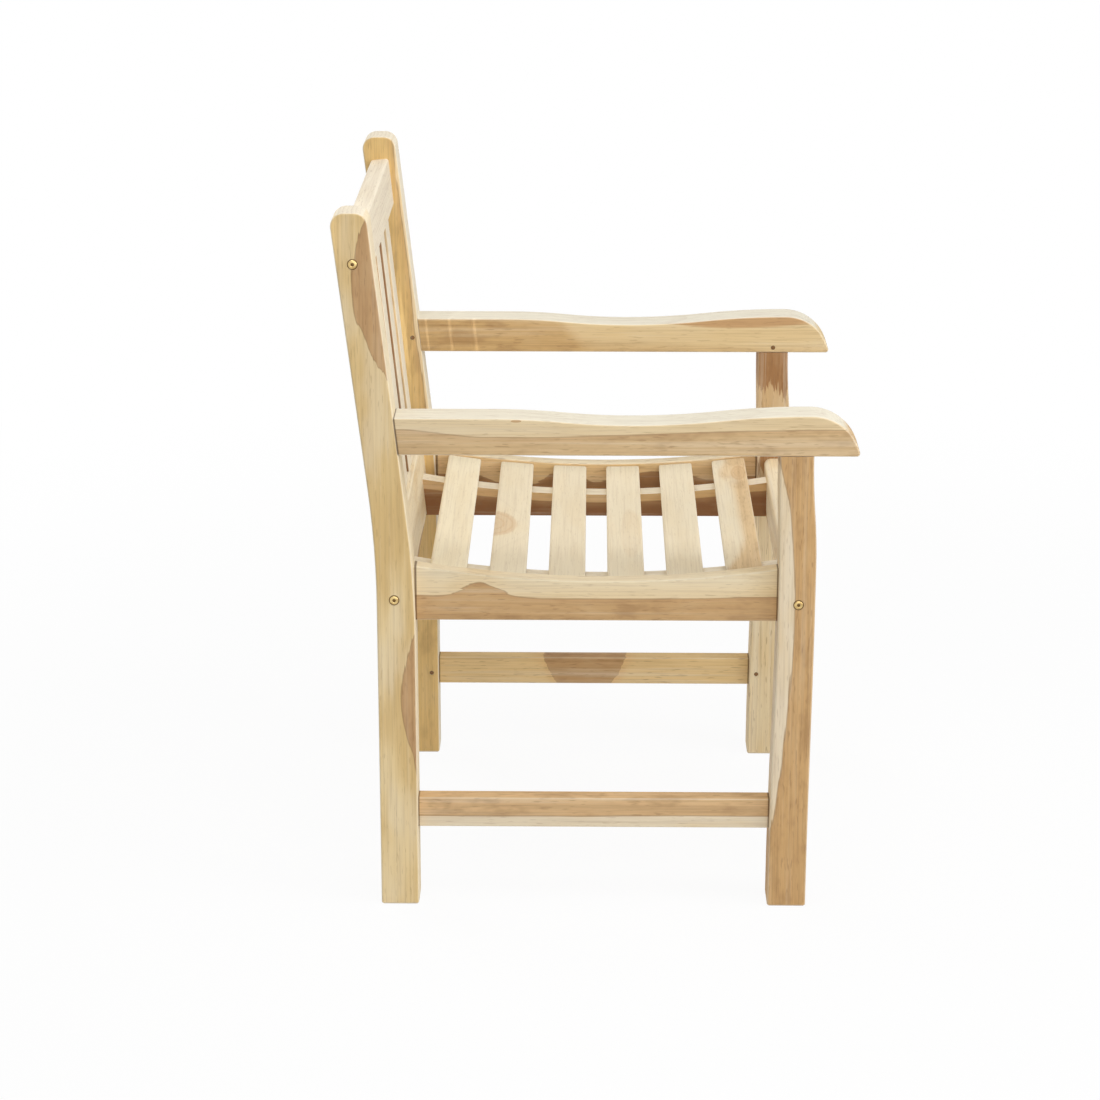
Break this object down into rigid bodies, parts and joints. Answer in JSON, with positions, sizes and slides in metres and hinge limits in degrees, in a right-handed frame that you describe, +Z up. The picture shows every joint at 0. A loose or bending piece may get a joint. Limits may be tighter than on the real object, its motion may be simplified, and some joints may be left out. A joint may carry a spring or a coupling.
{
  "type": "garden armchair",
  "caption": "Slatted teak garden armchair of the garden bench family, with a hollowed slat seat, upright back slats and arms that droop at the nose.",
  "frame": {"origin": "on the floor, in the middle of the overall width and depth", "axes": "+Z up, -Y to the front where the sitter faces, +X to the sitter's left"},
  "size_m": [0.596, 0.6452, 0.9],
  "materials": {
    "legs": "bare teak, sanded, matt",
    "arms": "bare teak, sanded, matt",
    "rails": "bare teak, sanded, matt",
    "seat_slats": "bare pale teak, sanded, matt",
    "back_slats": "bare pale teak, sanded, matt",
    "pegs": "bare hardwood, cut flush",
    "bolts": "satin",
    "screws": "stainless, satin"
  },
  "bodies": {
    "root": {"left_front_leg": "legs", "left_back_leg": "legs", "right_front_leg": "legs", "right_back_leg": "legs", "left_arm": "arms", "right_arm": "arms", "left_seat_rail": "rails", "left_stretcher": "rails", "left_seat_bearer": "rails", "right_seat_rail": "rails", "right_stretcher": "rails", "right_seat_bearer": "rails", "front_rail": "rails", "lower_back_rail": "rails", "top_rail": "rails", "seat_slat_1": "seat_slats", "seat_slat_2": "seat_slats", "seat_slat_3": "seat_slats", "seat_slat_4": "seat_slats", "seat_slat_5": "seat_slats", "seat_slat_6": "seat_slats", "back_slat_1": "back_slats", "back_slat_2": "back_slats", "back_slat_3": "back_slats", "back_slat_4": "back_slats", "back_slat_5": "back_slats", "joint_pegs": "pegs", "locating_dowels": "pegs", "connector_bolts": "bolts", "barrel_nuts": "bolts", "slat_screws": "screws"}
  },
  "joints": []
}
